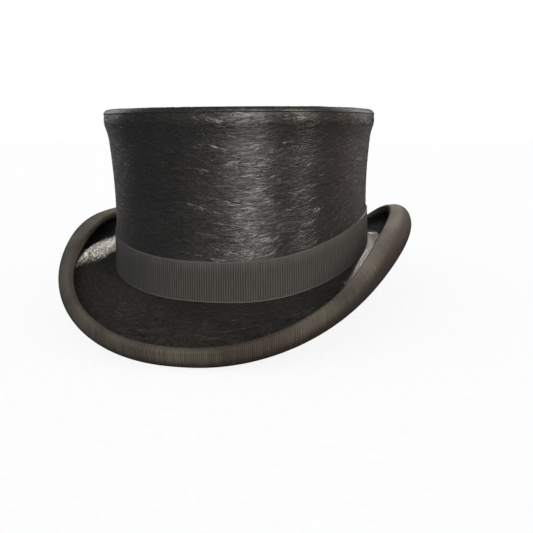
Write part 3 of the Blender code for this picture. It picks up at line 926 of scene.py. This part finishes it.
def make_rear_bow(material):
    """A tiny bow of narrow ribbon on the sweatband's join: two loops and a knot."""
    low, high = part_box("sweatband_bow")
    centre = (low + high) / 2
    half_length = (high.x - low.x) / 2
    half_height = (high.z - low.z) / 2
    middle = low.y - 1.0 * MM
    share = np.linspace(-1, 1, 7)[None, :]
    run = np.linspace(0, 2 * math.pi, 33)[:, None]
    width = half_height * (0.35 + 0.6 * abs(np.sin(run / 2)) ** 0.7)
    y = middle + 1.1 * MM * np.sin(run) * np.sin(run / 2)
    z = centre.z + width * share + 0.25 * MM * np.sin(share * 4)
    loops = []
    for side in (-1, 1):
        x = centre.x + side * half_length * (0.52 - 0.48 * np.cos(run))
        loops.append(np.stack(np.broadcast_arrays(x, y, z), axis=-1))
    angle = np.linspace(0, 2 * math.pi, 25)[:, None]
    knot_x = centre.x + 1.7 * MM * share
    knot_y = middle + 1.3 * MM * np.cos(angle) * (1 - 0.15 * share ** 2)
    knot_z = centre.z + 2.1 * MM * np.sin(angle)
    knot = np.stack(np.broadcast_arrays(knot_x, knot_y, knot_z), axis=-1)
    names = ("rear_bow_right", "rear_bow_left", "rear_bow_knot")
    for name, points in zip(names, (*loops, knot)):
        nodes = ["sweatband_bow"] if name == "rear_bow_knot" else []
        skin(name, points, 0.25 * MM, material, "bow_ribbon", nodes, row=3)


# -------- stage, light and camera

def make_floor():
    """A plain pale floor, far wider than the camera sees, which neither shades nor colours the hat."""
    half = 6.0
    corners = np.array([[-half, -half, 0], [half, -half, 0], [half, half, 0], [-half, half, 0]])
    mesh = new_mesh("floor", corners, np.array([[0, 1, 2, 3]]))
    looks = Looks("floor_paper", 0.9, Specular_IOR_Level=0.0)
    grain = looks.noise(looks.place(), 4 * MM, detail=2.0)
    mesh.materials.append(looks.finish(looks.mix(grain, rgb(0.80, 0.80, 0.80), rgb(0.84, 0.84, 0.84))))
    floor = bpy.data.objects.new("floor", mesh)
    bpy.context.scene.collection.objects.link(floor)
    floor.location.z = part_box("brim_binding")[0].z - 0.1 * MM
    floor.visible_diffuse = False
    floor.visible_glossy = False
    return floor


def toward(turn_degrees, elevation):
    """The direction out from the hat at a turn and an elevation, in degrees."""
    turn, up = math.radians(turn_degrees), math.radians(elevation)
    return Vector((math.cos(turn) * math.cos(up), math.sin(turn) * math.cos(up), math.sin(up)))


def add_light(name, kind, power, colour, turn, elevation, distance=1.0, **settings):
    """A light that shines on the middle of the crown from a turn and an elevation."""
    data = bpy.data.lights.new(name, kind)
    data.energy = power
    data.color = colour
    for key, value in settings.items():
        setattr(data, key, value)
    light = bpy.data.objects.new(name, data)
    direction = toward(turn, elevation)
    light.location = Vector((0, 0, 0.07)) + direction * distance
    light.rotation_euler = direction.to_track_quat("Z", "Y").to_euler()
    bpy.context.scene.collection.objects.link(light)
    return light


def all_but(name, left_out):
    """A collection of the hat's pieces without some of them, for a light to shine on."""
    lit = bpy.data.collections.new(name)
    bpy.context.scene.collection.children.link(lit)
    for piece in HAT.objects:
        if piece.name not in left_out:
            lit.objects.link(piece)
    return lit


def only_on(light, receivers):
    light.light_linking.receiver_collection = receivers


def make_lights(floor):
    """A sun behind the hat, tall soft boxes on the camera's side, a warm one beside, two broad ones beyond,
    and a light of the floor's own, so that it stays plain."""
    sun = add_light("sun", "SUN", 4.6, (1.0, 0.93, 0.82), CAMERA_TURN + 162, 40, angle=math.radians(5))
    only_on(sun, all_but("Sunlit", OUT_OF_SUN))
    walls = all_but("Walls", TIP_PIECES)
    soft_boxes = (
        # name, power, colour, turn from the camera, elevation, distance, width, height
        ("front_box", 20.0, (1.0, 0.96, 0.90), -4, 20, 1.3, 0.32, 1.0),
        ("side_box", 12.0, (1.0, 0.90, 0.78), 44, 30, 1.3, 0.28, 0.7),
        ("warm_fill", 1.4, (1.0, 0.62, 0.45), 95, 15, 1.4, 0.8, 0.8),
        ("left_fill", 5.0, (0.95, 0.98, 1.0), -125, 25, 1.5, 1.0, 1.0),
        ("right_fill", 5.0, (1.0, 0.95, 0.88), 125, 25, 1.5, 1.0, 1.0),
    )
    for name, power, colour, turn, elevation, distance, width, height in soft_boxes:
        box = add_light(name, "AREA", power, colour, CAMERA_TURN + turn, elevation, distance,
                        shape="RECTANGLE", size=width, size_y=height)
        only_on(box, walls)
    stage = bpy.data.collections.new("Stage")
    bpy.context.scene.collection.children.link(stage)
    stage.objects.link(floor)
    lamp = add_light("floor_light", "SUN", 3.4, (1.0, 1.0, 1.0), 0, 90)
    only_on(lamp, stage)
    lamp.light_linking.blocker_collection = stage


def make_surround():
    """A white surround to look at, which lights the hat as a dim one would, grey above and warm below."""
    world = bpy.data.worlds.new("surround")
    world.use_nodes = True
    bpy.context.scene.world = world
    tree = world.node_tree
    kinds = ("TexCoord", "SeparateXYZ", "ValToRGB", "Mix", "LightPath")
    direction, apart, ramp, shown, path = (tree.nodes.new("ShaderNode" + kind) for kind in kinds)
    shown.data_type = "RGBA"
    stops = ramp.color_ramp.elements
    stops[0].color = rgb(0.11, 0.09, 0.08)
    stops[1].position = 0.3
    stops[1].color = rgb(0.22, 0.23, 0.25)
    stops.new(0.85).color = rgb(0.07, 0.07, 0.08)
    tree.links.new(direction.outputs["Generated"], apart.inputs[0])
    tree.links.new(apart.outputs[2], ramp.inputs[0])
    tree.links.new(path.outputs["Is Camera Ray"], shown.inputs[0])
    tree.links.new(ramp.outputs[0], shown.inputs[6])
    shown.inputs[7].default_value = rgb(1.0, 1.0, 1.0)
    tree.links.new(shown.outputs[2], tree.nodes["Background"].inputs["Color"])


def make_camera():
    """Behind the wearer and to their right, near the height of the crown's top, looking a little down."""
    data = bpy.data.cameras.new("camera")
    data.lens = CAMERA_LENS
    data.sensor_width = CAMERA_SENSOR
    data.clip_start = 0.01
    camera = bpy.data.objects.new("camera", data)
    bpy.context.scene.collection.objects.link(camera)
    place = toward(CAMERA_TURN, 0) * CAMERA_DISTANCE + Vector((0, 0, JOINT_HEIGHT + CAMERA_RISE))
    aim = Matrix.Translation(place)
    for degrees, axis in ((180 + CAMERA_HEADING, "Z"), (90 - CAMERA_PITCH, "X"), (CAMERA_ROLL, "Z")):
        aim = aim @ Matrix.Rotation(math.radians(degrees), 4, axis)
    camera.matrix_world = aim
    bpy.context.scene.camera = camera


# -------- the hat

def dress_node(name, material):
    """Gives a CAD node that stays its finish."""
    node = frame["nodes"][name]
    node.data.materials.clear()
    node.data.materials.append(material)


def cover_in_plush():
    """The crown, tip and brim covers, and then the nap of each."""
    crown_silk = plush("crown_silk", rgb(0.006, 0.0065, 0.007), rgb(0.026, 0.026, 0.027),
                       streak=(2.2 * MM, 0.6 * MM, 1.0), depth=0.60 * MM, anisotropy=0.35,
                       smooth=0.28, coarse=0.40, shine=0.4)
    brim_silk = plush("brim_silk", rgb(0.005, 0.0045, 0.0045), rgb(0.020, 0.017, 0.015),
                      streak=(2.4 * MM, 0.9 * MM, 1.0), depth=0.7 * MM, anisotropy=0.3,
                      smooth=0.40, coarse=0.55, shine=0.16)
    crown_hair = hair("crown_hair", rgb(0.006, 0.0065, 0.007), rgb(0.036, 0.035, 0.033), 0.32)
    brim_hair = hair("brim_hair", rgb(0.005, 0.0045, 0.0045), rgb(0.055, 0.046, 0.038), 0.45)
    side_plush, side_points = make_crown_plush(crown_silk)
    tip_cover, tip_points = make_tip_plush(crown_silk)
    brim_cover, brim_points = make_brim_plush(brim_silk)
    crown_hairs, brim_hairs, tip_hairs = crown_nap(crown_hair), brim_nap(brim_hair), tip_nap(crown_hair)
    strip_sheet(side_plush, side_points, "stretched", ["crown_shell"], [crown_hairs])
    oval_sheet(tip_cover, tip_points, "stretched", ["tip_shell"], [tip_hairs])
    oval_sheet(brim_cover, brim_points, "stretched", ["brim_shell"], [brim_hairs])
    return side_plush


def bind_brim():
    """The cloth under the brim, and the binding with its stitches."""
    oval_sheet(*make_underbrim(merino()), "stretched", ["brim_shell"])
    # The binding's paler colour, from 17 mm across to 23 mm and on over the fold, is painted light on its
    # top, in patches
    ribbon = grosgrain("binding_ribbon", rgb(0.008, 0.006, 0.0055), rgb(0.036, 0.027, 0.024),
                       rgb(0.085, 0.078, 0.066), BINDING_RIB, BINDING_WIDTH, 17 * MM, 23 * MM)
    thread = thread_look("black_thread", rgb(0.05, 0.045, 0.045))
    strip_sheet(*make_binding(ribbon), "folded", ["brim_shell"], [make_binding_stitches(thread)])


def trim_crown(side_plush):
    """The band over the side plush, and its bow."""
    ribbon = grosgrain("band_ribbon", rgb(0.022, 0.0225, 0.021), rgb(0.050, 0.051, 0.047),
                       rgb(0.066, 0.067, 0.062), BAND_RIB, BAND_WIDTH, 16 * MM, 24 * MM)
    band = strip_sheet(*make_band(ribbon), "stretched", [side_plush])
    loops = []
    for end, side in (("front", -1), ("back", 1)):
        loop = make_bow_loop(f"bow_{end}_ribbon", f"bow_{end}_loop", side, ribbon)
        loops.append(strip_sheet(*loop, "folded", [band]))
    strip_sheet(*make_bow_knot(ribbon), "folded", loops)


def line_crown():
    """The satin linings, and the sweatband with its reed, stitches and small bow."""
    lining = satin()
    side_lining = strip_sheet(*make_side_lining(lining), "gathered", ["crown_shell"])
    oval_sheet(*make_tip_lining(lining), "stretched", ["tip_shell"])
    tan = leather()
    sweatband, points = make_sweatband(tan)
    sewn_on = [make_reed(tan), make_sweatband_stitches(thread_look("tan_thread", rgb(0.42, 0.30, 0.18)))]
    strip_sheet(sweatband, points, "stretched", [side_lining], sewn_on)
    make_rear_bow(grosgrain("rear_bow_ribbon", rgb(0.012, 0.012, 0.014), rgb(0.035, 0.035, 0.04),
                            rgb(0.05, 0.05, 0.055), BINDING_RIB, 8 * MM, 7 * MM, 8 * MM))


def dress_shells():
    """Finishes for the stiffened cloth parts, which stay as CAD made them."""
    gossamer = stiffened("gossamer", rgb(0.16, 0.10, 0.05), rgb(0.40, 0.31, 0.19), 0.9 * MM, 0.5)
    for name in ("crown_shell", "tip_shell", "brim_shell"):
        dress_node(name, gossamer)
    calico = stiffened("calico", rgb(0.32, 0.27, 0.18), rgb(0.56, 0.50, 0.38), 0.5 * MM, 0.2)
    dress_node("joint_strip", calico)


make_camera()
outer_plush = cover_in_plush()
bind_brim()
trim_crown(outer_plush)
line_crown()
dress_shells()
make_lights(make_floor())
make_surround()
bpy.context.scene.view_settings.view_transform = "Standard"
